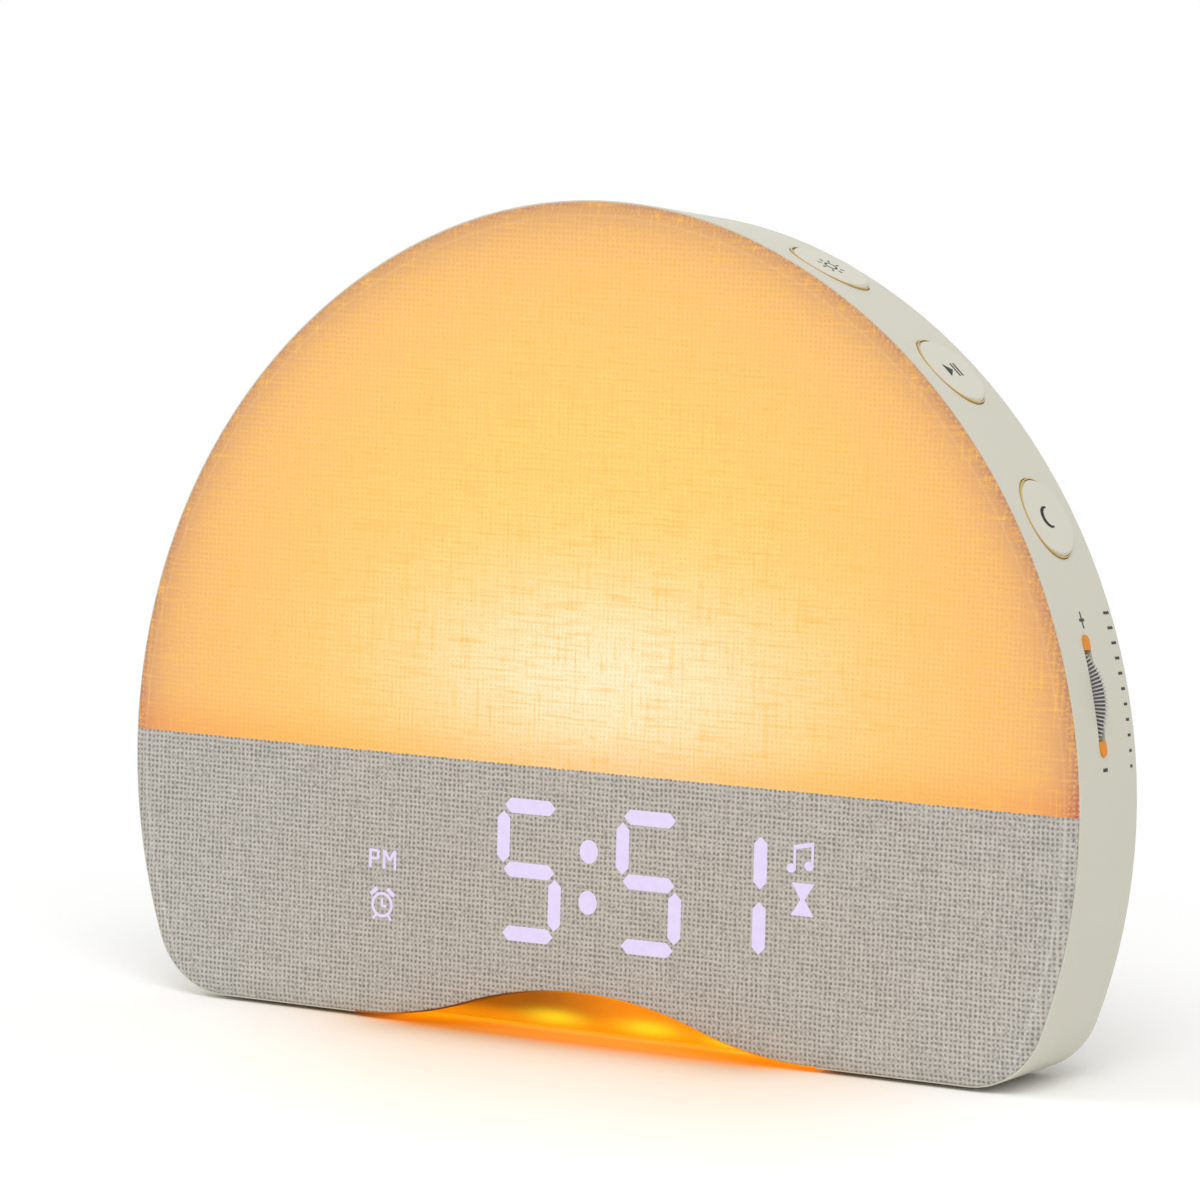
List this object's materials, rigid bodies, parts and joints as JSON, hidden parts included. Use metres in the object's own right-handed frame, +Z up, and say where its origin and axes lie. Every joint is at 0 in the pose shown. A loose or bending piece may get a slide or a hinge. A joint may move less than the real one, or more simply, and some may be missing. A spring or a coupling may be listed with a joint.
{
  "type": "sunrise alarm clock",
  "caption": "Arch-shaped bedside alarm clock with a cloth front that is a lamp above and a display below, side buttons, a side thumbwheel and an amber night light under an arch.",
  "frame": {"origin": "on the ground under the middle of the clock, halfway between the cloth front and the rear cover", "axes": "+Z up, the cloth front faces -Y, +X toward the side with the buttons and the thumbwheel"},
  "size_m": [0.2, 0.042, 0.1512],
  "materials": {
    "case_plastic": "satin moulded",
    "frame_plastic": "moulded",
    "cloth": "plain linen weave",
    "opal": "opal",
    "display_plastic": "moulded",
    "reflector": "white reflective",
    "white_board": "white solder mask",
    "green_board": "solder mask",
    "led": "lens",
    "segment_light": "translucent",
    "amber": "translucent amber",
    "button_plastic": "satin moulded",
    "black_plastic": "moulded",
    "screw_steel": "zinc plated",
    "dial_plastic": "ribbed",
    "pin_steel": "ground",
    "can_aluminium": "drawn",
    "connector_plastic": "moulded",
    "black_metal": "black paint",
    "magnet": "ground",
    "paper": "pressed pulp",
    "rubber": "moulded"
  },
  "bodies": {
    "case": {"board_capacitors": "can_aluminium", "board_chips": "black_plastic", "board_connectors": "connector_plastic", "bracket_screws": "screw_steel", "button_bracket": "frame_plastic", "button_switches": "black_plastic", "case_shell": "case_plastic", "dial_bracket": "frame_plastic", "dial_encoder": "black_plastic", "dial_insert": "amber", "display_board": "green_board", "display_leds": "led", "display_plate": "display_plastic", "display_screws": "screw_steel", "front_fabric": "cloth", "front_frame": "frame_plastic", "inlet_tongue": "black_plastic", "lamp_board": "white_board", "lamp_leds": "led", "light_baffle": "frame_plastic", "light_diffuser": "opal", "lit_segments": "segment_light", "main_board": "green_board", "main_board_screws": "screw_steel", "night_light_board": "white_board", "night_light_leds": "led", "night_light_lens": "amber", "power_inlet": "pin_steel", "rear_cover": "case_plastic", "rear_cover_screws": "screw_steel", "reflector_tray": "reflector", "rubber_feet": "rubber", "segment_block": "display_plastic", "speaker_cone": "paper", "speaker_frame": "black_metal", "speaker_gasket": "rubber", "speaker_magnet": "magnet", "speaker_screws": "screw_steel", "speaker_surround": "rubber", "switch_boards": "green_board"},
    "upper_key": {"upper_button": "button_plastic", "upper_switch_plunger": "black_plastic"},
    "middle_key": {"middle_button": "button_plastic", "middle_switch_plunger": "black_plastic"},
    "lower_key": {"lower_button": "button_plastic", "lower_switch_plunger": "black_plastic"},
    "dial": {"dial_wheel": "dial_plastic", "dial_axle": "pin_steel"}
  },
  "joints": [
    {"name": "upper_press", "type": "slide", "parent": "case", "child": "upper_key", "axis": [-0.4352, 0, -0.9003], "range_m": [0, 0.0008], "stiffness_N_per_m": 400},
    {"name": "middle_press", "type": "slide", "parent": "case", "child": "middle_key", "axis": [-0.6756, 0, -0.7373], "range_m": [0, 0.0008], "stiffness_N_per_m": 400},
    {"name": "lower_press", "type": "slide", "parent": "case", "child": "lower_key", "axis": [-0.8643, 0, -0.503], "range_m": [0, 0.0008], "stiffness_N_per_m": 400},
    {"name": "dial_turn", "type": "hinge", "parent": "case", "child": "dial", "pos_m": [0.08667, -0.0094, 0.06716], "axis": [0, 1, 0], "continuous": true}
  ]
}
